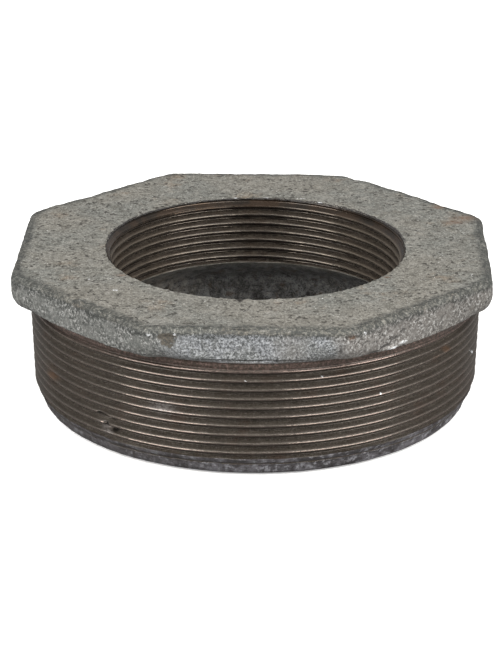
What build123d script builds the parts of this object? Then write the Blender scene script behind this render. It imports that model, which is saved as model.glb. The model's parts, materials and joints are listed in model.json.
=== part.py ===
from build123d import *
import os
from math import atan, degrees, radians, tan

# Octagon-head reducing bush, one malleable iron casting.
# Outside: male taper thread R 4. Inside the head: female parallel thread Rp 2 1/2.
# Millimetres. +Z runs up the bore axis towards the octagon head. The origin is on the
# axis, in the plane of the small end's rim, which the bush stands on.

TOTAL_HEIGHT = 38.5

# Pipe thread form common to both threads: Whitworth, 55 degrees, 11 turns per inch.
PITCH = 25.4 / 11
FLANK_ANGLE = 55 / 2
THREAD_DEPTH = 0.640327 * PITCH
ROOT_FLAT = PITCH / 6
CUTTER_CLEARANCE = 0.3

# Male taper thread R 4. The gauge plane's height is measured from the small end, and the
# radius grows by 1/32 per millimetre of height, a taper of 1 in 16 on the diameter.
MALE_MAJOR_DIAMETER = 113.03
GAUGE_HEIGHT = 25.4
RADIUS_TAPER = 1 / 32
MALE_CREST_HEIGHT = 27.46
MALE_CREST_ANGLE = -90
MALE_GROOVE_START = -1.5 * PITCH
MALE_GROOVE_END = 28.2

# Female parallel thread Rp 2 1/2, in a bore that a countersink opens and a hollow ends.
FEMALE_MAJOR_DIAMETER = 75.184
FEMALE_MINOR_DIAMETER = FEMALE_MAJOR_DIAMETER - 2 * THREAD_DEPTH
FEMALE_CREST_HEIGHT = 36.89
FEMALE_CREST_ANGLE = 90
COUNTERSINK_DIAMETER = 75.3
BORE_DEPTH = 17.0
FEMALE_GROOVE_START = TOTAL_HEIGHT - BORE_DEPTH - 2 * PITCH
FEMALE_GROOVE_END = TOTAL_HEIGHT + PITCH

# Angles of the seam lines on the round faces, clear of where the grooves run out.
MALE_CONE_SEAM = 225
BORE_SEAM = 67

# Plain rim below the male thread.
RIM_DIAMETER = 108.2
RIM_HEIGHT = 2.6
RIM_EDGE_RADIUS = 2.5
THREAD_CHAMFER_TOP = 5.8
TRIM_WIDTH = 10.0

# Cast hollow below the female thread.
SHOULDER_HEIGHT = 7.0
HOLLOW_TOP_DIAMETER = 93.0
HOLLOW_BOTTOM_DIAMETER = 96.0
HOLLOW_CORNER_RADIUS = 4.0

# Octagon spanner head. One flat faces straight forward.
HEAD_ACROSS_FLATS = 117.5
HEAD_HEIGHT = 9.0
HEAD_CORNER_RADIUS = 6.2
HEAD_TOP_EDGE_RADIUS = 1.6
HEAD_UNDERSIDE_EDGE_RADIUS = 4.4
HEAD_SIDES = 8


def male_crest_radius(height):
    """Radius of the male thread's crest cone at a height above the small end."""
    return MALE_MAJOR_DIAMETER / 2 + (height - GAUGE_HEIGHT) * RADIUS_TAPER


def groove_section(path, outward_sign):
    """Trapezoid that cuts one thread groove, placed across the start of its helix.

    The path runs along the groove's root. The groove widens away from it, outwards for
    a male thread and inwards for a female one, and ends just past the crests.
    """
    start = path @ 0
    outward = Vector(start.X, start.Y, 0).normalized()
    mouth_depth = THREAD_DEPTH + CUTTER_CLEARANCE
    half_root = ROOT_FLAT / 2
    half_mouth = half_root + mouth_depth * tan(radians(FLANK_ANGLE))
    outline = Polyline(
        (0, -half_root),
        (0, half_root),
        (outward_sign * mouth_depth, half_mouth),
        (outward_sign * mouth_depth, -half_mouth),
        close=True,
    )
    radial_plane = Plane(origin=start, x_dir=outward, z_dir=outward.cross(Vector(0, 0, 1)))
    return radial_plane * make_face(outline)


def thread_groove(start_height, end_height, root_radius, cone_angle, crest_height, crest_angle, outward_sign):
    """Right-handed helical groove, with its crest at a given height and angle."""
    helix = Helix(PITCH, end_height - start_height, root_radius, cone_angle=cone_angle)
    groove_height = crest_height - PITCH / 2
    start_angle = crest_angle + 360 * (start_height - groove_height) / PITCH
    path = Pos(0, 0, start_height) * Rot(0, 0, start_angle) * helix
    return sweep(groove_section(path, outward_sign), path, is_frenet=True)


def male_thread_body():
    """Threaded cone, with the rim turned down below the thread's root."""
    top_height = TOTAL_HEIGHT - HEAD_HEIGHT / 2
    cone = Cone(
        male_crest_radius(0),
        male_crest_radius(top_height),
        top_height,
        align=(Align.CENTER, Align.CENTER, Align.MIN),
    )
    groove = thread_groove(
        MALE_GROOVE_START,
        MALE_GROOVE_END,
        male_crest_radius(MALE_GROOVE_START) - THREAD_DEPTH,
        degrees(atan(RADIUS_TAPER)),
        MALE_CREST_HEIGHT,
        MALE_CREST_ANGLE,
        1,
    )
    return Rot(0, 0, MALE_CONE_SEAM) * cone - groove - rim_trim()


def rim_trim():
    """Ring of metal that is turned away around the small end."""
    rim_radius = RIM_DIAMETER / 2
    outer_radius = rim_radius + TRIM_WIDTH
    edge_centre = (rim_radius - RIM_EDGE_RADIUS, RIM_EDGE_RADIUS)
    edge_bottom = (rim_radius - RIM_EDGE_RADIUS, 0)
    edge = CenterArc(edge_centre, RIM_EDGE_RADIUS, 270, 90)
    rest = Polyline(
        edge @ 1,
        (rim_radius, RIM_HEIGHT),
        (male_crest_radius(THREAD_CHAMFER_TOP), THREAD_CHAMFER_TOP),
        (outer_radius, THREAD_CHAMFER_TOP),
        (outer_radius, -1),
        (rim_radius - RIM_EDGE_RADIUS, -1),
        edge_bottom,
    )
    return revolve(Plane.XZ * make_face([edge, rest]), Axis.Z)


def octagon_head():
    """The spanner head as a full slab."""
    outline = RegularPolygon(
        HEAD_ACROSS_FLATS / 2, HEAD_SIDES, major_radius=False, rotation=180 / HEAD_SIDES
    )
    outline = fillet(outline.vertices(), HEAD_CORNER_RADIUS)
    slab = extrude(outline, HEAD_HEIGHT)
    slab = fillet(slab.faces().sort_by(Axis.Z)[-1].edges(), HEAD_TOP_EDGE_RADIUS)
    slab = fillet(slab.faces().sort_by(Axis.Z)[0].edges(), HEAD_UNDERSIDE_EDGE_RADIUS)
    return Pos(0, 0, TOTAL_HEIGHT - HEAD_HEIGHT) * slab


def plain_bore():
    """Drilled bore at the female thread's minor diameter, right through."""
    return Rot(0, 0, BORE_SEAM) * extrude(Circle(FEMALE_MINOR_DIAMETER / 2), TOTAL_HEIGHT)


def female_groove():
    """Groove of the female thread, which leaves through the top and into the hollow."""
    return thread_groove(
        FEMALE_GROOVE_START,
        FEMALE_GROOVE_END,
        FEMALE_MAJOR_DIAMETER / 2,
        0,
        FEMALE_CREST_HEIGHT,
        FEMALE_CREST_ANGLE,
        -1,
    )


def countersink():
    """45 degree countersink that leads a pipe into the female thread."""
    bore_radius = FEMALE_MINOR_DIAMETER / 2
    countersink_radius = COUNTERSINK_DIAMETER / 2
    depth = countersink_radius - bore_radius
    cone = Cone(bore_radius, countersink_radius, depth, align=(Align.CENTER, Align.CENTER, Align.MIN))
    return Pos(0, 0, TOTAL_HEIGHT - depth) * cone


def hollow():
    """Cast hollow below the female thread: a sloping shoulder and a drafted wall."""
    bore_bottom = TOTAL_HEIGHT - BORE_DEPTH
    wall_top = (HOLLOW_TOP_DIAMETER / 2, bore_bottom - SHOULDER_HEIGHT)
    outline = Polyline(
        (0, bore_bottom),
        (FEMALE_MINOR_DIAMETER / 2, bore_bottom),
        wall_top,
        (HOLLOW_BOTTOM_DIAMETER / 2, 0),
        (0, 0),
        close=True,
    )
    section = make_face(outline)
    shoulder_corner = section.vertices().sort_by_distance(wall_top)[0]
    section = fillet(shoulder_corner, HOLLOW_CORNER_RADIUS)
    return revolve(Plane.XZ * section, Axis.Z)


os.makedirs("parts", exist_ok=True)
bush = male_thread_body() + octagon_head()
bush = bush - plain_bore() - female_groove() - countersink() - hollow()
bush.label = "bush_casting"
export_step(bush, "parts/bush_casting.step")
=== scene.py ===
"""Looks of a hot-dip galvanised octagon-head reducing bush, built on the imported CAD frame.

The casting's whole surface is one closed grid of columns (angles round the bore axis) and
rows (steps along the section: top face, head, male thread, rim, hollow, female thread).
The threads, the zinc coating's unevenness and the knocks are in that mesh. The material
takes its zones from masks stored on the vertices. Lengths are millimetres until the mesh
is made, and angles are measured round +Z from +X.
"""

import json
import math

import bpy
import numpy as np
from mathutils import Matrix, Vector


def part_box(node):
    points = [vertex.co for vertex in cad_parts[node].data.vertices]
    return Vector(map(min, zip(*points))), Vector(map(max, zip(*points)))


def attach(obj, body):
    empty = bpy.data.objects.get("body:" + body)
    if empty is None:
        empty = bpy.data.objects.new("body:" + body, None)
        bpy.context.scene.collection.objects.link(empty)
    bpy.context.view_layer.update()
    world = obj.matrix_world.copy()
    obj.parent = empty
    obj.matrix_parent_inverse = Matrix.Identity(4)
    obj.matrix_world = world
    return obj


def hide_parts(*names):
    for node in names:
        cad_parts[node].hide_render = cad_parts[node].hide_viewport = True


MM = 0.001
TAU = 2 * math.pi

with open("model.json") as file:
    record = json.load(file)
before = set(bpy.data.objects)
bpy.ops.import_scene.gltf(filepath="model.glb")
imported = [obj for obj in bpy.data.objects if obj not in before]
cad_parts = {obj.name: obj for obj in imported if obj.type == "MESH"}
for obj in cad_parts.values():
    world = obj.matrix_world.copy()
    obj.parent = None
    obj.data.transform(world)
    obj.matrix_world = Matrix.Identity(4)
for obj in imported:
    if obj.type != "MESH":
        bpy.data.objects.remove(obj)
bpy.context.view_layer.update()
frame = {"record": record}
cad_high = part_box("bush_casting")[1]
MOUNTS = {mount["name"]: mount for mount in frame["record"]["mounts"]}

# Sizes read from the frame.
HEIGHT = cad_high.z / MM
APOTHEM = cad_high.y / MM
GAUGE_RADIUS = MOUNTS["male_thread"]["dims"]["r_mm"]
GAUGE_HEIGHT = MOUNTS["male_thread"]["pos_m"][2] / MM
FEMALE_CREST_RADIUS = MOUNTS["female_thread"]["dims"]["r_mm"]

# Thread form: Whitworth, 11 turns per inch.
PITCH = 25.4 / 11
THREAD_DEPTH = 0.640327 * PITCH
THREAD_ROUND = 0.137329 * PITCH
HALF_THREAD_ANGLE = math.radians(27.5)
FLANK_SLOPE = 1 / math.tan(HALF_THREAD_ANGLE)
RADIUS_TAPER = 1 / 32
MALE_CREST_HEIGHT = 27.46
MALE_CREST_ANGLE = math.radians(-90)
FEMALE_CREST_HEIGHT = 36.89
FEMALE_CREST_ANGLE = math.radians(90)

# The rest of the body, as in the CAD part except for the underside's edge, which is
# rounder at the octagon's corners and sharper on its flats.
HEAD_HEIGHT = 9.0
HEAD_CORNER_RADIUS = 6.2
TOP_EDGE_RADIUS = 1.6
UNDERSIDE_CORNER_RADIUS = 4.6
UNDERSIDE_FLAT_RADIUS = 1.0
COUNTERSINK_RADIUS = 37.65
BORE_BOTTOM = HEIGHT - 17.0
SHOULDER_BOTTOM = BORE_BOTTOM - 7.0
HOLLOW_TOP_RADIUS = 46.5
HOLLOW_BOTTOM_RADIUS = 48.0
SHOULDER_BLEND = 3.0
SHOULDER_ROUNDING = 0.35
CHAMFER_TOP = 5.8
RIM_HEIGHT = 2.6
RIM_RADIUS = 54.1
RIM_EDGE_RADIUS = 2.5

# The casting sits a little off the axis that the threads were cut on.
HEAD_SHIFT = (-0.45, 1.35)
NECK_SHIFT = (-0.18, 0.20)

# The thread is cut into slightly oversize metal and ends in a shallow washout.
BLANK_ALLOWANCE = 0.40
WASHOUT_START = 27.4
WASHOUT_END = 28.5
WASHOUT_DEPTH = 0.30
CUT_END = 29.6
CUT_LIMIT = CUT_END + 0.9
RUN_OUT_SLOPE = 2.0
OUTSIDE_TOP = CUT_END - 0.5

# Under the head at the front: its raised edge, the fine groove and the ragged zinc burr.
FRONT_UNDERSIDE_RISE = 0.7
SEAM_HEIGHT = 30.75
SEAM_DEPTH = 0.18
BURR_HEIGHT = 30.0
BURR_SIZE = 0.16
# Where the front side's painted light and frost are weaker.
FROST_AND_LIGHT_GAP_ANGLE = -80.8

# The opening's lip: how far it wanders, its zinc beads, and its nicks. A nick is its
# distance along the lip from LIP_NOTCH_ANGLE, its depth and its reach.
LIP_WANDER = 0.36
LIP_BEAD_HEIGHT = 0.6
LIP_NOTCH_ANGLE = -94.3
LIP_NOTCHES = ((0.0, 0.9, 0.8), (4.0, 0.35, 1.6))

# Extra curve of the worn crests in the bump, per millimetre, how far below the crest
# line its top sits, and how far from there it reaches.
CREST_SHARPNESS = 1.1
CREST_DROP = 0.12
CREST_REACH = 0.25

# Where the countersink's brown cone and its dark lip fade in, and the rim's dark line.
CONE_FADE = (HEIGHT - 1.9, HEIGHT - 1.5)
LIP_FADE = (HEIGHT - 0.35, HEIGHT - 0.1)
RIM_LINE_HEIGHT = 3.6

# The grid's resolution, and the gaps it leaves above the floor and below the lip.
COLUMNS = 640
ROWS_PER_PITCH = 16
TOP_ROWS = 48
HEAD_ROWS = 54
RIM_EDGE_ROWS = 9
RIM_FLAT_ROWS = 8
HOLLOW_ROWS = 38
HOLLOW_START = 0.4
LIP_GAP = 0.07

# The head's section before its rows are spread evenly.
EDGE_STEPS = 24
SIDE_STEPS = 16
UNDERSIDE_STEPS = 12
NECK_STEPS = 5
EASING_ROUNDS = 7

columns = np.arange(COLUMNS) * TAU / COLUMNS
cosines = np.cos(columns)
sines = np.sin(columns)


class Perlin:
    """Seeded gradient noise in three dimensions, roughly between -0.7 and 0.7."""

    def __init__(self, seed):
        random = np.random.default_rng(seed)
        order = random.permutation(256)
        self.order = np.concatenate([order, order])
        slopes = random.normal(size=(256, 3))
        self.slopes = slopes / np.linalg.norm(slopes, axis=1, keepdims=True)

    def __call__(self, points):
        cell = np.floor(points).astype(np.int64)
        offset = points - cell
        cell &= 255
        ease = offset**3 * (offset * (offset * 6 - 15) + 10)
        total = np.zeros(points.shape[:-1])
        for dx in (0, 1):
            for dy in (0, 1):
                for dz in (0, 1):
                    corner = self.order[cell[..., 0] + dx]
                    corner = self.order[corner + cell[..., 1] + dy]
                    corner = self.order[corner + cell[..., 2] + dz]
                    reach = offset - np.array([dx, dy, dz])
                    share = np.abs(1 - dx - ease[..., 0])
                    share = share * np.abs(1 - dy - ease[..., 1])
                    share = share * np.abs(1 - dz - ease[..., 2])
                    total += share * np.sum(self.slopes[corner] * reach, axis=-1)
        return total


def fractal(seed, points, size, octaves=3, gain=0.5):
    """Noise summed over octaves. size is the widest lumps' spacing in millimetres.

    Each octave takes the next seed, so the seeds it is given lie at least that far apart.
    """
    total = np.zeros(points.shape[:-1])
    strength = 1.0
    for octave in range(octaves):
        total += strength * Perlin(seed + octave)(points / size + 17.3 * octave)
        size /= 2
        strength *= gain
    return total


def smoothstep(low, high, value):
    """0 below low, 1 above high, and an eased rise between them."""
    t = np.clip((value - low) / (high - low), 0, 1)
    return t * t * (3 - 2 * t)


def bell(offset, reach):
    """1 where the offset is 0, falling to almost nothing at twice the reach."""
    return np.exp(-((offset / reach) ** 2))


def on_circle(radius):
    """Points round the bore axis at height 0, one per column."""
    return np.stack([radius * cosines, radius * sines, 0 * cosines], axis=-1)


def angle_from(angle, centre):
    """Signed angle from a centre, between -pi and pi."""
    return (angle - centre + math.pi) % TAU - math.pi


def octagon_radius(angle, apothem, corner_radius):
    """Distance from the axis to a rounded octagon's outline."""
    from_flat = np.abs(angle_from(angle * 8, 0) / 8)
    half = math.pi / 8
    corner_distance = (apothem - corner_radius) / math.cos(half)
    from_corner = half - from_flat
    across = corner_distance * np.sin(from_corner)
    rounded = corner_distance * np.cos(from_corner)
    rounded = rounded + np.sqrt(np.maximum(corner_radius**2 - across**2, 0))
    on_flat = apothem * np.tan(from_flat) <= (apothem - corner_radius) * math.tan(half)
    return np.where(on_flat, apothem / np.cos(from_flat), rounded)


def in_front(angle, half_width):
    """1 on the head's front side, fading out half_width degrees from its middle."""
    return np.exp(-((angle_from(angle, math.radians(-90)) / math.radians(half_width)) ** 8))


def shifted_octagon(apothem, corner_radius):
    """Distance to the octagon's outline in each column, with the head off the axis.

    The octagon's own angle for a column is found by correcting it a few times.
    """
    turn = columns.copy()
    for _ in range(5):
        reach = octagon_radius(turn, apothem, corner_radius)
        x = reach * np.cos(turn) + HEAD_SHIFT[0]
        y = reach * np.sin(turn) + HEAD_SHIFT[1]
        turn = turn + angle_from(columns, np.arctan2(y, x))
    return np.hypot(x, y)


def from_crest(angle, height, crest_height, crest_angle):
    """Height above the nearest turn of a right-handed thread's crest."""
    rise = height - crest_height - PITCH * (angle - crest_angle) / TAU
    return (rise + PITCH / 2) % PITCH - PITCH / 2


def whitworth_depth(distance):
    """Depth below the crest cone, with the crest and the root rounded."""
    distance = np.abs(distance)
    arc = THREAD_ROUND * math.cos(HALF_THREAD_ANGLE)
    bow = THREAD_ROUND * (1 - math.sin(HALF_THREAD_ANGLE))
    crest = THREAD_ROUND - np.sqrt(np.maximum(THREAD_ROUND**2 - distance**2, 0))
    root_distance = PITCH / 2 - distance
    root = THREAD_ROUND - np.sqrt(np.maximum(THREAD_ROUND**2 - root_distance**2, 0))
    flank = bow + (distance - arc) * FLANK_SLOPE
    depth = np.where(distance < arc, crest, flank)
    return np.where(root_distance < arc, THREAD_DEPTH - root, depth)


def crest_cone(height):
    """Radius of the male thread's crest cone."""
    return GAUGE_RADIUS + (height - GAUGE_HEIGHT) * RADIUS_TAPER


def male_thread(angle, height):
    """Radius the male thread's cutter leaves, which rises out of the metal at its end."""
    distance = from_crest(angle, height, MALE_CREST_HEIGHT, MALE_CREST_ANGLE)
    run_out = smoothstep(WASHOUT_START, WASHOUT_END, height)
    depth = whitworth_depth(distance) * (1 - run_out) + WASHOUT_DEPTH * run_out
    return crest_cone(height) - depth + RUN_OUT_SLOPE * np.maximum(height - CUT_END, 0)


def female_thread(angle, height):
    """Radius the female thread's tap leaves."""
    distance = from_crest(angle, height, FEMALE_CREST_HEIGHT, FEMALE_CREST_ANGLE)
    return FEMALE_CREST_RADIUS + whitworth_depth(distance)


def blank_radius(angle, height):
    """Outside of the casting below the head, before the thread was cut."""
    cone = crest_cone(height) + BLANK_ALLOWANCE
    slope = (crest_cone(CHAMFER_TOP) - RIM_RADIUS) / (CHAMFER_TOP - RIM_HEIGHT)
    chamfer = RIM_RADIUS + (height - RIM_HEIGHT) * slope
    radius = np.minimum(cone, np.maximum(chamfer, RIM_RADIUS))
    back = NECK_SHIFT[1] * smoothstep(CHAMFER_TOP, HEIGHT - HEAD_HEIGHT, height)
    return radius + NECK_SHIFT[0] * np.cos(angle) + back * np.sin(angle)


def hollow_radius(height):
    """Cast hollow: a drafted wall, and a shoulder that slopes in to the bore."""
    wall = HOLLOW_BOTTOM_RADIUS + (HOLLOW_TOP_RADIUS - HOLLOW_BOTTOM_RADIUS) * (
        height / SHOULDER_BOTTOM
    )
    slope = (HOLLOW_TOP_RADIUS - FEMALE_CREST_RADIUS) / (BORE_BOTTOM - SHOULDER_BOTTOM)
    shoulder = FEMALE_CREST_RADIUS + (BORE_BOTTOM - height) * slope
    gap = (wall - shoulder) / SHOULDER_BLEND
    return wall - SHOULDER_BLEND * 0.5 * (gap + np.sqrt(gap**2 + SHOULDER_ROUNDING))


def top_face():
    """From the countersink's lip to where the head's top edge starts to round."""
    steps = np.linspace(0, 1, TOP_ROWS)[:, None] ** 1.3
    outer = shifted_octagon(APOTHEM - TOP_EDGE_RADIUS, HEAD_CORNER_RADIUS - TOP_EDGE_RADIUS)
    wander = fractal(11, on_circle(COUNTERSINK_RADIUS), 2.6, 3, 0.8)
    lip = COUNTERSINK_RADIUS + LIP_WANDER * wander
    along = angle_from(columns, math.radians(LIP_NOTCH_ANGLE)) * COUNTERSINK_RADIUS
    for place, depth, reach in LIP_NOTCHES:
        lip = lip + depth * bell(along - place, reach)
    radius = (1 - steps) * lip + steps * outer
    return radius, HEIGHT + 0 * radius


def head_side():
    """Top edge, side, underside edge and underside, down to the neck."""
    from_flat = np.abs(angle_from(columns * 8, 0)) / math.pi
    lower_radius = UNDERSIDE_FLAT_RADIUS + (
        UNDERSIDE_CORNER_RADIUS - UNDERSIDE_FLAT_RADIUS
    ) * smoothstep(0.35, 0.95, from_flat)
    underside = HEIGHT - HEAD_HEIGHT + FRONT_UNDERSIDE_RISE * in_front(columns, 24)
    turn = np.linspace(0, math.pi / 2, EDGE_STEPS)[:, None]
    still = 0 * columns
    top_inset = TOP_EDGE_RADIUS * (1 - np.sin(turn)) + still
    top_height = HEIGHT - TOP_EDGE_RADIUS * (1 - np.cos(turn)) + still
    side_top = HEIGHT - TOP_EDGE_RADIUS
    side_bottom = underside + lower_radius
    side_height = side_top + np.linspace(0, 1, SIDE_STEPS)[:, None] * (side_bottom - side_top)
    low_inset = lower_radius * (1 - np.cos(turn))
    low_height = side_bottom - lower_radius * np.sin(turn)
    inset = np.concatenate([top_inset, 0 * side_height, low_inset])
    height = np.concatenate([top_height, side_height, low_height])
    head = np.stack(
        [shifted_octagon(APOTHEM - d, np.maximum(HEAD_CORNER_RADIUS - d, 0.5)) for d in inset]
    )
    neck = blank_radius(columns, underside)
    flat = np.linspace(1, 0, UNDERSIDE_STEPS)[:, None] * np.maximum(head[-1] - neck, 0) + neck
    neck_height = underside + np.linspace(0, 1, NECK_STEPS)[1:, None] * (OUTSIDE_TOP - underside)
    radius = np.concatenate([np.maximum(head, neck), flat, neck + 0 * neck_height])
    height = np.concatenate([height, underside + 0 * flat, neck_height])
    return resampled(radius, height, HEAD_ROWS)


def resampled(radius, height, rows):
    """The same section lines with evenly spaced rows, the corner under the head eased."""
    new_radius = np.empty((rows, COLUMNS))
    new_height = np.empty((rows, COLUMNS))
    for column in range(COLUMNS):
        step = np.hypot(np.diff(radius[:, column]), np.diff(height[:, column]))
        along = np.concatenate([[0], np.cumsum(step)])
        wanted = np.linspace(0, along[-1], rows)
        new_radius[:, column] = np.interp(wanted, along, radius[:, column])
        new_height[:, column] = np.interp(wanted, along, height[:, column])
    side_bottom = HEIGHT - HEAD_HEIGHT + UNDERSIDE_CORNER_RADIUS
    for _ in range(EASING_ROUNDS):
        for values in (new_radius, new_height):
            middle = (values[:-2] + 2 * values[1:-1] + values[2:]) / 4
            share = smoothstep(side_bottom, side_bottom - 2, new_height[1:-1])
            values[1:-1] += share * (middle - values[1:-1])
    return new_radius, new_height


def threaded_outside():
    """The blank's outside below the head, down to the rim's edge."""
    rows = round((OUTSIDE_TOP - RIM_EDGE_RADIUS) / PITCH * ROWS_PER_PITCH)
    height = np.linspace(OUTSIDE_TOP, RIM_EDGE_RADIUS, rows)[1:, None] + 0 * columns
    return blank_radius(columns, height), height


def rim():
    """The rim's rounded edge and its flat underside."""
    turn = np.linspace(0, math.pi / 2, RIM_EDGE_ROWS)[1:, None]
    outer = blank_radius(columns, RIM_EDGE_RADIUS)
    radius = outer - RIM_EDGE_RADIUS * (1 - np.cos(turn))
    height = RIM_EDGE_RADIUS * (1 - np.sin(turn)) + 0 * columns
    steps = np.linspace(0, 1, RIM_FLAT_ROWS)[1:, None]
    flat = (1 - steps) * radius[-1] + steps * (HOLLOW_BOTTOM_RADIUS + 0.5)
    return np.concatenate([radius, flat]), np.concatenate([height, 0 * flat])


def inside():
    """Hollow, female thread and countersink, from the bottom up to the opening's lip."""
    thread_bottom = BORE_BOTTOM - 0.7 * PITCH
    cast_steps = np.linspace(HOLLOW_START, thread_bottom, HOLLOW_ROWS)
    rows = round((HEIGHT - thread_bottom) / PITCH * ROWS_PER_PITCH)
    cut_steps = np.linspace(thread_bottom, HEIGHT - LIP_GAP, rows)[1:]
    height = np.concatenate([cast_steps, cut_steps])[:, None] + 0 * columns
    return hollow_radius(height), height


# Each zone is a pair of arrays, radius and height, with one row per step and one column
# per angle. The rows run from the opening's lip outwards, down, in and up again.
zones = {
    "top": top_face(),
    "head": head_side(),
    "outside": threaded_outside(),
    "rim": rim(),
    "inside": inside(),
}
radius = np.concatenate([zone[0] for zone in zones.values()])
height = np.concatenate([zone[1] for zone in zones.values()])
ends = np.cumsum([len(zone[0]) for zone in zones.values()])
zone_rows = {
    name: slice(int(end) - len(zones[name][0]), int(end)) for name, end in zip(zones, ends)
}
angle = np.broadcast_to(columns, radius.shape)


def positions(radius, height):
    """Points of the grid."""
    return np.stack([radius * cosines, radius * sines, height], axis=-1)


def grid_normals(points):
    """Outward unit normals of the closed grid."""
    along = np.roll(points, -1, axis=0) - np.roll(points, 1, axis=0)
    around = np.roll(points, -1, axis=1) - np.roll(points, 1, axis=1)
    normals = np.cross(along, around)
    return normals / np.maximum(np.linalg.norm(normals, axis=-1, keepdims=True), 1e-9)


def rows_mask(*names):
    """1 on the rows of the named zones, 0 elsewhere."""
    mask = np.zeros(radius.shape)
    for name in names:
        mask[zone_rows[name]] = 1
    return mask


# The casting as poured and dipped: uneven everywhere, by the millimetres given here.
base = positions(radius, height)
normals = grid_normals(base)
on_top = rows_mask("top") * smoothstep(-0.2, 0.8, radius - COUNTERSINK_RADIUS)
on_head = rows_mask("head")
on_hollow = rows_mask("inside") * smoothstep(BORE_BOTTOM, BORE_BOTTOM - 2.5, height)
on_outside = rows_mask("outside", "rim")
swell = fractal(21, base, 16, 2)
lumps = fractal(31, base, 5, 3, 0.6)
grit = fractal(41, base, 1.8, 2, 0.6)
hollow_lumps = fractal(51, base, 9, 3, 0.6)
relief = on_top * (0.16 * swell + 0.07 * lumps + 0.05 * grit)
relief += on_head * (0.22 * swell + 0.26 * lumps + 0.10 * grit)
relief += on_hollow * (0.75 * hollow_lumps + 0.12 * grit)
relief += on_outside * (0.08 * swell + 0.12 * lumps + 0.08 * grit)
flat_under = rows_mask("rim") * smoothstep(0.6, 0.0, height)
cast = base + normals * (relief * (1 - flat_under))[..., None]
cast[..., 2] = np.maximum(cast[..., 2], 0)

# Knocks, runs and stains: angle in degrees, height, reach round and up, depth, kind.
# A negative depth stands out of the surface.
SIDE_MARKS = (
    (-108.6, 36.5, 2.3, 0.9, 0.35, "olive"),
    (-108.4, 35.2, 1.6, 1.1, 0.30, "olive"),
    (-107.8, 34.4, 0.7, 0.7, 0.10, "olive"),
    (-112.3, 36.9, 0.5, 0.4, -0.10, "bright_zinc_and_glint"),
    (-106.9, 37.1, 0.4, 0.3, -0.10, "bright_zinc_and_glint"),
    (-102.9, 37.2, 0.4, 0.3, -0.10, "bright_zinc_and_glint"),
    (-69.9, 33.6, 0.40, 1.9, 0.22, "fold"),
    (-73.5, 33.8, 2.6, 2.2, -0.10, "frost_and_light"),
    (-67.5, 36.6, 0.9, 0.5, 0.10, "stain"),
    (-64.0, 37.0, 0.45, 0.6, -0.25, "bright_zinc_and_glint"),
    (-60.8, 30.8, 1.8, 0.45, 0.35, "fold"),
    (-57.5, 31.8, 1.9, 0.45, 0.35, "fold"),
    (-54.5, 33.0, 1.7, 0.45, 0.30, "fold"),
    (-52.0, 34.2, 1.2, 0.50, 0.25, "fold"),
    (-60.0, 30.2, 2.6, 0.22, -0.30, "bright_zinc_and_glint"),
    (-55.5, 30.7, 1.8, 0.45, -0.50, "bright_zinc_and_glint"),
    (-52.0, 31.3, 1.6, 0.40, -0.40, "bright_zinc_and_glint"),
    (-156.4, 28.9, 0.45, 0.7, 0.60, "gouge"),
)
# The same on the male thread, made after it is cut.
# Most bright marks on the thread are painted glints.
THREAD_MARKS = (
    (-130.3, 10.9, 0.9, 0.40, 0.6, "gouge"),
    (-128.8, 10.7, 1.1, 0.42, 0.8, "gouge"),
    (-127.4, 10.2, 0.9, 0.38, 0.5, "gouge"),
    (-128.5, 8.8, 0.8, 0.35, 0.6, "gouge"),
    (-127.4, 8.0, 0.8, 0.38, 0.8, "gouge"),
    (-126.3, 7.3, 0.8, 0.35, 0.5, "gouge"),
    (-131.0, 8.2, 0.9, 0.50, -0.10, "smear"),
    (-129.6, 7.5, 1.1, 0.55, -0.15, "smear"),
    (-127.9, 6.8, 1.3, 0.35, -0.10, "smear"),
    (-130.2, 7.9, 0.4, 0.25, -0.10, "bright_zinc_and_glint"),
    (-56.8, 18.7, 0.3, 0.25, 0.0, "bright_zinc_and_glint"),
    (-91.2, 25.3, 0.15, 0.15, 0.0, "bright_zinc_and_glint"),
    (-72.6, 25.6, 0.15, 0.15, 0.0, "bright_zinc_and_glint"),
    (-33.2, 23.7, 1.3, 0.8, 0.0, "stain"),
    (-38.0, 22.9, 1.6, 0.4, 0.0, "stain"),
    (-15.2, 16.7, 0.7, 0.8, 0.0, "bright_zinc_and_glint"),
    (-152.0, 14.0, 2.5, 1.6, 0.0, "stain"),
    (-112.0, 16.5, 2.8, 1.4, 0.0, "smear"),
)
# The same on the head, seen from above: x, y, reach along x and y, depth, kind.
TOP_MARKS = (
    (47.1, 33.3, 1.6, 1.6, 0.60, "stain"),
    (26.0, 57.5, 3.4, 3.0, 0.65, "dent"),
    (53.7, 23.8, 2.6, 2.0, 0.0, "stain"),
    (50.9, 20.6, 2.2, 1.6, 0.0, "stain"),
    (-39.6, -24.8, 0.5, 0.5, -0.1, "bright_zinc_and_glint"),
    (-34.5, -24.1, 0.4, 0.4, -0.1, "bright_zinc_and_glint"),
    (-32.9, -32.2, 0.9, 0.5, -0.1, "bright_zinc_and_glint"),
    (-31.9, -21.6, 1.3, 0.6, 0.0, "stain"),
    (32.2, -21.2, 1.1, 0.5, 0.0, "stain"),
    (-2.8, -38.2, 0.6, 0.5, 0.5, "gouge"),
    (11.0, 38.1, 1.3, 0.3, -0.25, "bright_zinc_and_glint"),
    (2.0, 38.3, 1.1, 0.3, -0.25, "bright_zinc_and_glint"),
    (16.2, 34.8, 0.8, 0.4, -0.25, "bright_zinc_and_glint"),
    (-6.0, 37.9, 0.7, 0.3, -0.20, "bright_zinc_and_glint"),
)
# The material paints these kinds. Frost marks join the front side's frost and painted light, a
# dent is only a shape.
PAINTED_KINDS = ("gouge", "bright_zinc_and_glint", "stain", "olive", "fold", "smear")
marks = {kind: np.zeros(radius.shape) for kind in (*PAINTED_KINDS, "frost_and_light", "dent")}


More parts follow.
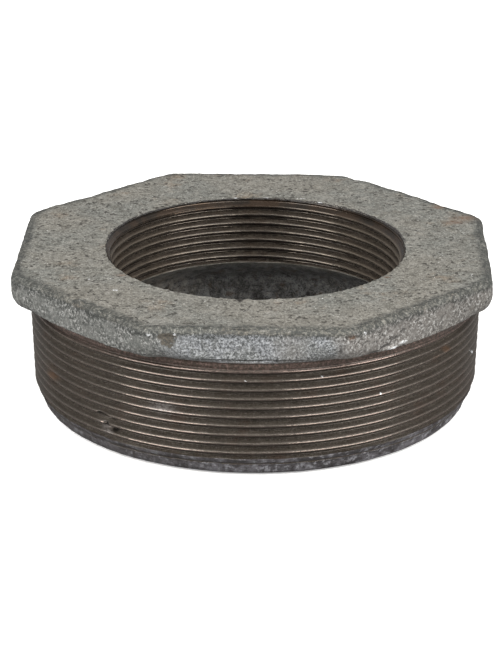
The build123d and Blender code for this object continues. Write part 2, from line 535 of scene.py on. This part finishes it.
def side_mark(turn, level, around, tall):
    """Soft oval on the outside of the casting."""
    across = angle_from(angle, math.radians(turn)) * radius / around
    return np.exp(-(across**2) - ((height - level) / tall) ** 2)


def top_mark(x, y, width, depth):
    """Soft oval on the head, seen from above."""
    return np.exp(-(((base[..., 0] - x) / width) ** 2) - ((base[..., 1] - y) / depth) ** 2)


def record_mark(kind, shape):
    """Adds one mark's shape to those of its kind."""
    marks[kind] = np.maximum(marks[kind], shape)


for turn, level, around, tall, depth, kind in SIDE_MARKS:
    shape = side_mark(turn, level, around, tall) * rows_mask("top", "head", "outside")
    cast -= normals * (depth * shape)[..., None]
    record_mark(kind, shape)
lip_beads = smoothstep(-0.1, 0.5, fractal(101, on_circle(COUNTERSINK_RADIUS), 1.3, 2, 0.8))
lip_beads *= 0.3 + 0.7 * smoothstep(-0.2, 0.5, sines)
lip_shape = bell(radius - radius[0], 0.45) * rows_mask("top")
cast[..., 2] += LIP_BEAD_HEIGHT * lip_beads * lip_shape
burr = bell(height - BURR_HEIGHT, 0.26) * rows_mask("head", "outside")
burr *= smoothstep(-0.45, 0.35, fractal(91, base, 7, 3, 0.6))
cast += normals * (BURR_SIZE * burr)[..., None]
record_mark("smear", burr)
seam = in_front(angle, 15) * bell(height - SEAM_HEIGHT, 0.2) * rows_mask("head")
cast -= normals * (SEAM_DEPTH * seam)[..., None]
record_mark("gouge", 0.45 * seam)
for x, y, width, reach, depth, kind in TOP_MARKS:
    shape = top_mark(x, y, width, reach) * (on_top + on_head)
    cast -= normals * (depth * shape)[..., None]
    record_mark(kind, shape)

# The threads, cut into the coated casting.
cast_radius = np.hypot(cast[..., 0], cast[..., 1])
cast_height = cast[..., 2]
male = male_thread(angle, cast_height)
male_wear = 0.03 * fractal(61, base, 1.4, 2) + 0.03 * fractal(64, base, 9, 2)
male = male + male_wear
outer_rows = rows_mask("head", "outside") * (cast_height < CUT_LIMIT)
male_cut = np.where(outer_rows > 0, cast_radius - male, -1.0)
female = female_thread(angle, cast_height) + 0.02 * fractal(71, base, 1.6, 2)
countersink = COUNTERSINK_RADIUS - (HEIGHT - cast_height)
countersink += 0.10 * fractal(74, on_circle(COUNTERSINK_RADIUS), 3.0, 3, 0.7)
inner_cut_radius = np.maximum(female, countersink)
female_cut = np.where(rows_mask("inside") > 0, inner_cut_radius - cast_radius, -1.0)
new_radius = np.where(male_cut > 0, male, cast_radius)
new_radius = np.where(female_cut > 0, inner_cut_radius, new_radius)
for turn, level, around, tall, depth, kind in THREAD_MARKS:
    shape = side_mark(turn, level, around, tall) * rows_mask("outside")
    new_radius -= depth * shape
    record_mark(kind, shape)
points = cast.copy()
points[..., 0] = new_radius * cosines
points[..., 1] = new_radius * sines

# Masks the material reads.
ragged = 0.05 * fractal(81, base, 1.2, 3, 0.7)
bare = smoothstep(0.0, 0.09, male_cut + ragged * (male_cut > 0))
bare = np.maximum(bare, smoothstep(0.0, 0.09, female_cut))
edge_line = shifted_octagon(APOTHEM, HEAD_CORNER_RADIUS) - radius
rim_band = on_head * smoothstep(HEIGHT - 2.6, HEIGHT - 1.4, height + 0.9 * lumps)
rim_band = np.maximum(rim_band, on_top * smoothstep(3.6, 1.6, edge_line + 1.2 * lumps))
first_turn = on_outside + on_head
first_turn = first_turn * smoothstep(26.6, 28.0, height) * (male_cut > 0)
facet = on_head * smoothstep(0.9, 1.5, HEIGHT - height + 0.5 * lumps)
# Painted light: the front side is painted whiter and bluer than the others, over its frosty zinc,
# and less so in one spot near its middle.
frost_and_light = facet * in_front(angle, 19)
frost_and_light *= 1 - 0.6 * bell(angle_from(angle, math.radians(FROST_AND_LIGHT_GAP_ANGLE)) * APOTHEM, 4.2)
frost_and_light += marks["frost_and_light"]
# A dark ragged band along the opening's lip, stronger at the back.
lip_dark_band = bell(radius - radius[0], 1.2) * rows_mask("top")
lip_dark_band *= 0.4 + 0.6 * smoothstep(-0.2, 0.5, np.sin(angle))
masks = {
    "bare": bare,
    "edge": rim_band,
    "first_turn": first_turn,
    "facet": facet,
    "frost_and_light": frost_and_light,
    "hollow": on_hollow * (female_cut <= 0),
    "inner": rows_mask("inside"),
    "rim": on_outside * smoothstep(9, 7, height),
    "lip": lip_dark_band,
    **{kind: marks[kind] for kind in PAINTED_KINDS},
}


def make_piece(name, points, masks):
    """The closed grid as one smooth-shaded object, with its masks and a UV map."""
    rows, cols = points.shape[:2]
    index = np.arange(rows * cols).reshape(rows, cols)
    below = np.roll(index, -1, axis=0)
    quads = np.stack(
        [index, below, np.roll(below, -1, axis=1), np.roll(index, -1, axis=1)], axis=-1
    ).reshape(-1, 4)
    mesh = bpy.data.meshes.new(name)
    mesh.vertices.add(rows * cols)
    mesh.vertices.foreach_set("co", (points * MM).astype(np.float32).ravel())
    mesh.loops.add(quads.size)
    mesh.loops.foreach_set("vertex_index", quads.astype(np.int32).ravel())
    mesh.polygons.add(len(quads))
    mesh.polygons.foreach_set("loop_start", np.arange(0, quads.size, 4, dtype=np.int32))
    mesh.polygons.foreach_set("use_smooth", np.ones(len(quads), bool))
    mesh.update(calc_edges=True)
    for key, values in masks.items():
        layer = mesh.attributes.new(key, "FLOAT", "POINT")
        layer.data.foreach_set("value", values.astype(np.float32).ravel())
    mesh.validate()
    step = np.linalg.norm(np.roll(points, -1, axis=0) - points, axis=-1).mean(axis=1)
    along = np.concatenate([[0], np.cumsum(step)]) / step.sum()
    row = np.repeat(np.arange(rows), cols)
    col = np.tile(np.arange(cols), rows)
    uv = np.stack(
        [
            np.stack([col, col, col + 1, col + 1], axis=-1) / cols,
            np.stack([along[row], along[row + 1], along[row + 1], along[row]], axis=-1),
        ],
        axis=-1,
    )
    layer = mesh.uv_layers.new(name="OFBake")
    layer.uv.foreach_set("vector", uv.astype(np.float32).ravel())
    piece = bpy.data.objects.new(name, mesh)
    bpy.context.scene.collection.objects.link(piece)
    return piece


def tone(red, green, blue):
    """A colour given in 0-255 display values, as linear RGBA."""
    channels = [value / 255 for value in (red, green, blue)]
    linear = [c / 12.92 if c <= 0.04045 else ((c + 0.055) / 1.055) ** 2.4 for c in channels]
    return (*linear, 1.0)


class Graph:
    """Writes the node tree of a material or a world. Values are numbers, colours or sockets."""

    def __init__(self, owner):
        owner.use_nodes = True
        self.tree = owner.node_tree
        self.tree.nodes.clear()

    def node(self, kind, **settings):
        node = self.tree.nodes.new(kind)
        for key, value in settings.items():
            setattr(node, key, value)
        return node

    def feed(self, socket, value):
        if isinstance(value, bpy.types.NodeSocket):
            self.tree.links.new(value, socket)
        else:
            socket.default_value = value

    def mask(self, name):
        return self.node("ShaderNodeAttribute", attribute_name=name).outputs["Fac"]

    def place(self, kind):
        return self.node("ShaderNodeTexCoord").outputs[kind]

    def math(self, operation, *values):
        node = self.node("ShaderNodeMath", operation=operation)
        for socket, value in zip(node.inputs, values):
            self.feed(socket, value)
        return node.outputs[0]

    def plus(self, first, second):
        return self.math("ADD", first, second)

    def minus(self, first, second):
        return self.math("SUBTRACT", first, second)

    def times(self, first, second):
        return self.math("MULTIPLY", first, second)

    def larger(self, first, second):
        return self.math("MAXIMUM", first, second)

    def absolute(self, value):
        return self.math("ABSOLUTE", value)

    def scaled(self, vector, x, y, z):
        node = self.node("ShaderNodeVectorMath", operation="MULTIPLY")
        self.feed(node.inputs[0], vector)
        node.inputs[1].default_value = (x, y, z)
        return node.outputs[0]

    def axes(self, vector):
        node = self.node("ShaderNodeSeparateXYZ")
        self.feed(node.inputs[0], vector)
        return tuple(node.outputs)

    def noise(self, vector, size, detail=3.0, roughness=0.55):
        node = self.node("ShaderNodeTexNoise")
        self.feed(node.inputs["Vector"], vector)
        node.inputs["Scale"].default_value = 1 / size
        node.inputs["Detail"].default_value = detail
        node.inputs["Roughness"].default_value = roughness
        return node.outputs["Fac"]

    def flecks(self, vector, size):
        """A different value in each cell of a crystal pattern."""
        cells = self.node("ShaderNodeTexVoronoi")
        self.feed(cells.inputs["Vector"], vector)
        cells.inputs["Scale"].default_value = 1 / size
        channels = self.node("ShaderNodeSeparateColor")
        self.feed(channels.inputs[0], cells.outputs["Color"])
        return channels.outputs[0]

    def remap(self, value, low, high, to_low=0.0, to_high=1.0):
        node = self.node("ShaderNodeMapRange", interpolation_type="SMOOTHSTEP")
        self.feed(node.inputs["Value"], value)
        for key, number in (("From Min", low), ("From Max", high)):
            node.inputs[key].default_value = number
        for key, number in (("To Min", to_low), ("To Max", to_high)):
            node.inputs[key].default_value = number
        return node.outputs["Result"]

    def mix(self, factor, first, second):
        node = self.node("ShaderNodeMix", data_type="RGBA")
        self.feed(node.inputs["Factor"], factor)
        self.feed(node.inputs[6], first)
        self.feed(node.inputs[7], second)
        return node.outputs[2]

    def blend(self, factor, first, second):
        node = self.node("ShaderNodeMix", data_type="FLOAT")
        self.feed(node.inputs[0], factor)
        self.feed(node.inputs[2], first)
        self.feed(node.inputs[3], second)
        return node.outputs[0]

    def ramp(self, value, low, high, first, second):
        """The first colour below low, the second above high."""
        return self.mix(self.remap(value, low, high), tone(*first), tone(*second))

    def layers(self, colour, *rows):
        """Covers a colour with others, one after another.

        A row is a value, where the layer starts and where it is full, how much it covers
        there, and its colour.
        """
        for value, start, full, cover, paint in rows:
            colour = self.mix(self.remap(value, start, full, 0, cover), colour, tone(*paint))
        return colour


def zinc_colours(g, mm, broad, patch, pits, grain):
    """Dull, speckled zinc of the top face."""
    brown = g.noise(mm, 9, 4, 0.65)
    cloud = g.noise(g.scaled(mm, 0.7, 1, 1), 2.6, 3, 0.6)
    mottle = g.noise(mm, 0.9, 4, 0.75)
    zinc = g.layers(
        g.ramp(broad, 0.38, 0.62, (107, 108, 103), (117, 114, 106)),
        (patch, 0.50, 0.70, 0.55, (96, 94, 86)),
        (patch, 0.46, 0.32, 0.45, (132, 131, 126)),
        (brown, 0.56, 0.74, 0.7, (116, 99, 80)),
        (cloud, 0.52, 0.66, 0.5, (140, 137, 129)),
        (cloud, 0.46, 0.34, 0.5, (86, 83, 76)),
        (mottle, 0.54, 0.66, 0.6, (156, 154, 147)),
        (mottle, 0.46, 0.36, 0.75, (68, 66, 60)),
        (grain, 0.54, 0.64, 0.5, (162, 161, 155)),
        (grain, 0.46, 0.37, 0.55, (70, 68, 62)),
        (pits, 0.43, 0.36, 0.9, (50, 47, 42)),
    )
    # Painted highlights: rare, near-white sparkles.
    spark = g.remap(g.noise(mm, 0.45, 1), 0.72, 0.78)
    spark = g.times(spark, g.remap(g.noise(mm, 6, 2), 0.50, 0.60))
    return g.mix(spark, zinc, tone(225, 226, 224))


def side_colours(g, mm, patch, grain, zinc):
    """Coarse crystals on the head's sides; the front one frosty white, partly its zinc and partly
    painted light.
    """
    x = g.axes(mm)[0]
    speck = g.noise(mm, 0.66, 4, 0.8)
    side = g.layers(
        g.ramp(x, -18.5, 24.5, (101, 103, 100), (117, 113, 109)),
        (x, 34, 50, 0.55, (94, 91, 86)),
        (g.flecks(mm, 0.7), 0.1, 0.9, 0.35, (140, 139, 136)),
    )
    coarse = g.remap(g.noise(mm, 3.2, 3, 0.6), 0.44, 0.60, 1.0, 0.35)
    light = g.times(g.remap(speck, 0.545, 0.585, 0, 0.75), coarse)
    side = g.mix(light, side, tone(188, 188, 186))
    dark = g.times(g.remap(speck, 0.465, 0.425, 0, 0.8), coarse)
    side = g.mix(dark, side, tone(44, 44, 43))
    white = g.layers(
        g.ramp(patch, 0.42, 0.60, (114, 116, 115), (134, 137, 141)),
        (speck, 0.475, 0.435, 0.85, (62, 64, 65)),
        (speck, 0.55, 0.59, 0.5, (184, 187, 190)),
        (grain, 0.46, 0.38, 0.6, (74, 76, 77)),
        (grain, 0.54, 0.62, 0.5, (190, 193, 196)),
    )
    # The front side in its whiter colours: frosty zinc with painted light.
    side = g.mix(g.mask("frost_and_light"), side, white)
    side = g.mix(g.mask("facet"), zinc, side)
    # Painted shade: a dark ragged band along the head's top edge.
    painted_edge_shade = g.times(g.mask("edge"), g.remap(g.noise(mm, 4, 4, 0.65), 0.28, 0.42))
    painted_edge_shade = g.times(painted_edge_shade, g.remap(speck, 0.44, 0.58, 0.95, 0.35))
    return g.mix(painted_edge_shade, side, tone(54, 56, 54))


def hollow_colours(g, mm, grain, zinc):
    """Dark, blotched casting skin of the hollow, warmer on its left side."""
    crust = g.noise(mm, 1.6, 4, 0.75)
    skin = g.layers(
        g.ramp(g.noise(mm, 4.5, 5, 0.65), 0.36, 0.64, (66, 65, 64), (110, 111, 111)),
        (crust, 0.53, 0.63, 0.6, (132, 130, 125)),
        (crust, 0.47, 0.37, 0.75, (30, 28, 26)),
        (g.noise(mm, 3.0, 3), 0.56, 0.68, 0.7, (74, 60, 48)),
        (grain, 0.46, 0.38, 0.7, (34, 31, 28)),
        (grain, 0.56, 0.64, 0.5, (120, 118, 112)),
        (g.noise(mm, 2.6, 3, 0.6), 0.36, 0.30, 0.8, (26, 24, 23)),
    )
    warm = g.remap(g.axes(mm)[0], -12, -32, 0, 0.35)
    skin = g.mix(g.times(warm, g.remap(crust, 0.42, 0.50)), skin, tone(150, 140, 126))
    return g.mix(g.mask("hollow"), zinc, skin)


def rim_colours(g, mm, patch, zinc):
    """Mottled zinc of the rim, with a dark line round it and painted shade at its foot."""
    x, _, z = g.axes(mm)
    mottle = g.noise(mm, 1.5, 4, 0.7)
    rim = g.layers(
        g.ramp(patch, 0.40, 0.60, (64, 61, 63), (100, 98, 102)),
        (mottle, 0.52, 0.62, 0.7, (150, 150, 155)),
        (mottle, 0.46, 0.38, 0.8, (50, 45, 45)),
        (g.absolute(g.minus(z, RIM_LINE_HEIGHT)), 0.35, 0.1, 0.6, (44, 38, 36)),
        # Painted shade at the foot, next to the floor.
        (z, 0.9, 0.2, 0.7, (44, 38, 40)),
        (x, -5, -38, 0.45, (62, 57, 54)),
    )
    return g.mix(g.mask("rim"), zinc, rim)


def marked_colours(g, mm, colour):
    """Dark knocks, bright zinc runs, painted glints on the thread and rust-brown stains over
    everything else.
    """
    rag = g.noise(mm, 0.6, 3, 0.75)

    def torn(kind, low, high, start, full, cover=1.0):
        """A kind's marks with edges torn by the noise between low and high."""
        return g.remap(g.times(g.mask(kind), g.remap(rag, low, high)), start, full, 0, cover)

    lip = g.plus(g.mask("lip"), g.minus(g.noise(mm, 0.8, 2, 0.7), 0.5))
    colour = g.layers(colour, (lip, 0.56, 0.72, 0.95, (38, 34, 34)))
    stain = g.times(g.mask("stain"), g.remap(rag, 0.36, 0.56, 0.3, 0.9))
    colour = g.mix(stain, colour, tone(104, 80, 62))
    olive = g.ramp(rag, 0.4, 0.6, (68, 66, 61), (94, 89, 81))
    colour = g.mix(torn("olive", 0.2, 0.5, 0.25, 0.5), colour, olive)
    smear = g.times(g.mask("smear"), g.remap(rag, 0.36, 0.56, 0.1, 0.8))
    colour = g.mix(smear, colour, tone(136, 131, 129))
    # Bright zinc runs, and painted glints on the thread.
    colour = g.mix(torn("bright_zinc_and_glint", 0.3, 0.7, 0.18, 0.42), colour, tone(196, 198, 200))
    colour = g.mix(torn("fold", 0.25, 0.6, 0.18, 0.55, 0.8), colour, tone(62, 60, 58))
    return g.mix(torn("gouge", 0.1, 0.5, 0.14, 0.40), colour, tone(40, 36, 32))


def thread_distance(g, mm, crest_height, crest_angle):
    """Height above the nearest crest of a right-handed thread, in millimetres."""
    x, y, z = g.axes(mm)
    turns = g.math("DIVIDE", g.minus(g.math("ARCTAN2", y, x), crest_angle), TAU)
    rise = g.math("DIVIDE", g.minus(z, crest_height), PITCH)
    return g.times(g.math("WRAP", g.minus(rise, turns), 0.5, -0.5), PITCH)


def line_mask(g, distance, centre, half_width):
    """1 on a line along the thread, fading to 0 at half_width from its centre."""
    away = g.absolute(g.minus(distance, centre))
    return g.remap(away, half_width, half_width * 0.5)


def crest_polish(g, mm, male, female, inner):
    """Worn crests that shine, and some of the bore's roots. Inside they are patchier."""
    worn = g.remap(g.noise(mm, 0.7, 3, 0.7), 0.34, 0.46, 0.25, 1.0)
    dull = g.remap(g.noise(g.scaled(mm, 1, 1, 2.2), 6, 3, 0.6), 0.40, 0.56, 0.35, 1.0)
    crest = g.times(line_mask(g, male, 0.0, 0.115), worn)
    bore_crest = g.times(g.times(line_mask(g, female, 0.02, 0.14), worn), dull)
    bore_root = line_mask(g, female, PITCH / 2 - 0.22, 0.16)
    bore_root = g.times(bore_root, g.remap(g.noise(mm, 7, 3), 0.42, 0.60, 0, 0.8))
    return g.blend(inner, crest, g.larger(bore_crest, bore_root))


def male_colours(g, noises, male, polish):
    """Oily grey-brown iron with worn crests and a reddish first turn."""
    streak, stain, dust, fine = noises
    iron = g.layers(
        g.ramp(streak, 0.3, 0.7, (75, 69, 62), (92, 85, 77)),
        (dust, 0.54, 0.66, 0.7, (124, 117, 109)),
        (dust, 0.46, 0.36, 0.6, (52, 47, 41)),
        (stain, 0.52, 0.72, 0.65, (86, 68, 58)),
        (fine, 0.52, 0.64, 0.5, (122, 115, 107)),
        (fine, 0.48, 0.36, 0.5, (46, 41, 36)),
    )
    reddish = g.layers(
        g.ramp(dust, 0.40, 0.60, (68, 54, 48), (112, 94, 87)),
        (dust, 0.62, 0.68, 1.0, (150, 128, 118)),
    )
    first = g.times(g.mask("first_turn"), g.remap(dust, 0.35, 0.6, 0.4, 1.0))
    iron = g.mix(first, iron, reddish)
    # Painted shade: darker towards each root, and in a line just above each crest.
    iron = g.layers(iron, (g.absolute(male), 0.60, 1.15, 0.4, (50, 45, 40)))
    shade = line_mask(g, male, 0.42, 0.34)
    iron = g.mix(g.times(shade, 0.6), iron, tone(46, 41, 36))
    return g.mix(g.times(polish, 0.9), iron, tone(130, 115, 109))


def bore_colours(g, mm, noises, female, polish, cone):
    """The same iron inside the bore, darker, with painted light near the crests to the left and
    right and painted shade along the crests.
    """
    streak, stain, dust, fine = noises
    x, _, z = g.axes(mm)
    bore = g.layers(
        g.ramp(streak, 0.3, 0.7, (50, 44, 38), (72, 64, 56)),
        (stain, 0.54, 0.72, 0.6, (62, 50, 38)),
        (dust, 0.53, 0.63, 0.6, (88, 80, 71)),
        (dust, 0.47, 0.38, 0.6, (28, 25, 21)),
        (fine, 0.52, 0.62, 0.6, (100, 92, 83)),
        (fine, 0.48, 0.38, 0.6, (24, 21, 18)),
    )
    # Painted shade: a dark line above each crest and a broader one below it.
    shade = g.larger(line_mask(g, female, 0.42, 0.34), line_mask(g, female, -0.6, 0.5))
    bore = g.mix(g.times(shade, 0.35), bore, tone(34, 30, 26))
    # Painted light: near the crests the bore is lighter to the left and right.
    painted_side_light = g.times(g.remap(g.absolute(x), 12, 28, 0, 0.36), line_mask(g, female, -0.15, 0.8))
    bore = g.mix(painted_side_light, bore, tone(118, 107, 94))
    bore = g.mix(g.times(polish, 0.85), bore, tone(96, 89, 82))
    bore = g.mix(cone, bore, g.ramp(stain, 0.40, 0.60, (38, 33, 28), (58, 46, 36)))
    return g.layers(bore, (z, *LIP_FADE, 0.9, (22, 19, 18)))


def iron_colours(g, mm):
    """Both cut threads: colour, streaks along them, polish and the crests' extra relief."""
    wobble = g.times(g.minus(g.noise(mm, 1.1, 2), 0.5), 0.09)
    male = g.plus(thread_distance(g, mm, MALE_CREST_HEIGHT, MALE_CREST_ANGLE), wobble)
    female = g.plus(thread_distance(g, mm, FEMALE_CREST_HEIGHT, FEMALE_CREST_ANGLE), wobble)
    inner = g.mask("inner")
    polish = crest_polish(g, mm, male, female, inner)
    cone = g.times(g.remap(g.axes(mm)[2], *CONE_FADE, 0, 0.8), inner)

    streak = g.noise(g.scaled(mm, 0.22, 0.22, 2.6), 0.9, 4, 0.65)
    stain, dust, fine = g.noise(mm, 8, 4, 0.65), g.noise(mm, 0.6, 3, 0.7), g.noise(mm, 0.3, 2, 0.7)
    noises = (streak, stain, dust, fine)
    outside = male_colours(g, noises, male, polish)
    iron = g.mix(inner, outside, bore_colours(g, mm, noises, female, polish, cone))

    polish = g.larger(polish, g.times(cone, 0.28))
    off_crest = g.plus(g.blend(inner, male, female), CREST_DROP)
    near = g.math("MINIMUM", g.absolute(off_crest), CREST_REACH)
    ridge = g.times(g.times(near, near), -CREST_SHARPNESS)
    return iron, streak, polish, ridge


def casting_material():
    """Hot-dip zinc with bare, oily threads cut through it."""
    material = bpy.data.materials.new("galvanised_iron")
    g = Graph(material)
    mm = g.scaled(g.place("Object"), 1000, 1000, 1000)
    bare = g.mask("bare")
    broad, patch = g.noise(mm, 22, 3), g.noise(mm, 5, 4, 0.6)
    pits, grain = g.noise(mm, 1.3, 3, 0.6), g.noise(mm, 0.42, 2, 0.6)

    zinc = zinc_colours(g, mm, broad, patch, pits, grain)
    zinc = side_colours(g, mm, patch, grain, zinc)
    zinc = hollow_colours(g, mm, grain, zinc)
    zinc = rim_colours(g, mm, patch, zinc)
    iron, streak, polish, ridge = iron_colours(g, mm)
    colour = marked_colours(g, mm, g.mix(bare, zinc, iron))

    zinc_rough = g.remap(grain, 0.3, 0.7, 0.48, 0.66)
    iron_rough = g.remap(streak, 0.3, 0.7, 0.35, 0.47)
    iron_rough = g.blend(g.remap(polish, 0.05, 0.45), iron_rough, 0.07)
    metallic = g.blend(bare, 0.35, g.blend(polish, 0.45, 1.0))

    zinc_height = g.plus(g.times(pits, 0.22), g.times(grain, 0.10))
    iron_height = g.plus(g.times(streak, 0.02), g.times(grain, 0.012))
    bump = g.node("ShaderNodeBump")
    bump.inputs["Strength"].default_value = 1.0
    bump.inputs["Distance"].default_value = MM
    g.feed(bump.inputs["Height"], g.blend(bare, zinc_height, g.plus(iron_height, ridge)))

    shader = g.node("ShaderNodeBsdfPrincipled")
    g.feed(shader.inputs["Base Color"], colour)
    g.feed(shader.inputs["Roughness"], g.blend(bare, zinc_rough, iron_rough))
    g.feed(shader.inputs["Metallic"], metallic)
    g.feed(shader.inputs["Normal"], bump.outputs["Normal"])
    output = g.node("ShaderNodeOutputMaterial")
    g.feed(output.inputs["Surface"], shader.outputs["BSDF"])
    return material


bush = make_piece("galvanised_bush", points, masks)
bush.data.materials.append(casting_material())
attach(bush, "root")
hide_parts("bush_casting")


# Stage: a pale floor, two softboxes, dim surroundings and the camera.
CAMERA_LENS = 146.31
CAMERA_DISTANCE = 662.3 * MM
CAMERA_ELEVATION = math.radians(21.25)
CAMERA_TURN = math.radians(1.32)
CAMERA_ROLL = 0.0029
CAMERA_ASIDE = 1.31 * MM
CAMERA_BELOW = 19.66 * MM
SOFTBOX_ELEVATION = math.radians(40)
SOFTBOX_DISTANCE = 1.2
SOFTBOX_HEIGHT = 0.87
SOFTBOX_COLOUR = (1, 0.98, 0.95)
FLOOR_HALF_WIDTH = 4.0
FLOOR_GAP = 0.0002


def grey(level):
    """A linear grey as RGBA."""
    return (level, level, level, 1)


def floor_material():
    """Matt white paper with a faint tooth, darker to everything but the camera."""
    material = bpy.data.materials.new("floor_paper")
    g = Graph(material)
    tooth = g.noise(g.place("Object"), 0.02, 4)
    path = g.node("ShaderNodeLightPath")
    seen = path.outputs["Is Camera Ray"]
    dim = g.mix(path.outputs["Is Glossy Ray"], grey(0.38), grey(0.22))
    paper = g.mix(g.remap(tooth, 0.3, 0.7), grey(0.88), grey(0.90))
    shader = g.node("ShaderNodeBsdfPrincipled")
    g.feed(shader.inputs["Base Color"], g.mix(seen, dim, paper))
    shader.inputs["Roughness"].default_value = 0.9
    shader.inputs["Emission Color"].default_value = grey(1)
    g.feed(shader.inputs["Emission Strength"], g.times(seen, 0.35))
    output = g.node("ShaderNodeOutputMaterial")
    g.feed(output.inputs["Surface"], shader.outputs["BSDF"])
    return material


def add_floor():
    """A large sheet just under the part."""
    half = FLOOR_HALF_WIDTH
    mesh = bpy.data.meshes.new("floor_sheet")
    corners = [(-half, -half, 0), (half, -half, 0), (half, half, 0), (-half, half, 0)]
    mesh.from_pydata(corners, [], [(0, 1, 2, 3)])
    mesh.materials.append(floor_material())
    floor = bpy.data.objects.new("floor_sheet", mesh)
    floor.location.z = -FLOOR_GAP
    bpy.context.scene.collection.objects.link(floor)


def add_softbox(name, turn, roll, width, power):
    """A rectangular lamp aimed at the part.

    turn is its azimuth from the camera's side. roll turns it about its own aim, so that
    its inner edge stands upright when seen from the part.
    """
    lamp = bpy.data.lights.new(name, "AREA")
    lamp.shape = "RECTANGLE"
    lamp.size = width
    lamp.size_y = SOFTBOX_HEIGHT
    lamp.energy = power
    lamp.color = SOFTBOX_COLOUR
    box = bpy.data.objects.new(name, lamp)
    azimuth = math.radians(-90 + turn) + CAMERA_TURN
    target = Vector((0, 0, HEIGHT * MM / 2))
    level = math.cos(SOFTBOX_ELEVATION)
    ahead = (math.cos(azimuth) * level, math.sin(azimuth) * level, math.sin(SOFTBOX_ELEVATION))
    direction = Vector(ahead)
    box.location = target + direction * SOFTBOX_DISTANCE
    aim = direction.to_track_quat("Z", "Y").to_matrix()
    box.rotation_euler = (aim @ Matrix.Rotation(math.radians(roll), 3, "Z")).to_euler()
    bpy.context.scene.collection.objects.link(box)


def add_camera():
    """The viewing angle, found from the thread's and the octagon's outlines."""
    camera = bpy.data.cameras.new("view_camera")
    camera.sensor_width = 36
    camera.lens = CAMERA_LENS
    camera.clip_start = 0.01
    rig = bpy.data.objects.new("view_camera", camera)
    sine, cosine = math.sin(CAMERA_ELEVATION), math.cos(CAMERA_ELEVATION)
    right = Vector((1, 0, 0))
    up = Vector((0, sine, cosine))
    back = Vector((0, -cosine, sine))
    place = Vector((0, 0, HEIGHT * MM))
    place += back * CAMERA_DISTANCE - right * CAMERA_ASIDE - up * CAMERA_BELOW
    rolled_right = right * math.cos(CAMERA_ROLL) + up * math.sin(CAMERA_ROLL)
    rolled_up = up * math.cos(CAMERA_ROLL) - right * math.sin(CAMERA_ROLL)
    axes = Matrix((rolled_right, rolled_up, back)).transposed().to_4x4()
    turn = Matrix.Rotation(CAMERA_TURN, 4, "Z")
    rig.matrix_world = turn @ Matrix.Translation(place) @ axes
    bpy.context.scene.collection.objects.link(rig)
    bpy.context.scene.camera = rig


def add_world():
    """White to the camera. To other rays dim, with a darker room behind the camera.

    The darker room is the gap between the softboxes that the photo's thread reflects.
    """
    world = bpy.data.worlds.new("studio")
    g = Graph(world)
    x, y, _ = g.axes(g.place("Generated"))
    turn = g.absolute(g.math("ARCTAN2", x, g.times(y, -1)))
    room = g.remap(turn, math.radians(20), math.radians(30), 0.16, 0.43)
    seen = g.node("ShaderNodeLightPath").outputs["Is Camera Ray"]
    background = g.node("ShaderNodeBackground")
    background.inputs["Color"].default_value = (0.97, 0.98, 1.0, 1)
    g.feed(background.inputs["Strength"], g.blend(seen, room, 1.0))
    output = g.node("ShaderNodeOutputWorld")
    g.feed(output.inputs["Surface"], background.outputs["Background"])
    bpy.context.scene.world = world


add_floor()
add_world()
add_softbox("softbox_left", -51.5, 16, 0.79, 19)
add_softbox("softbox_right", 52.5, -19, 1.02, 22.5)
add_camera()
bpy.context.scene.view_settings.view_transform = "Standard"
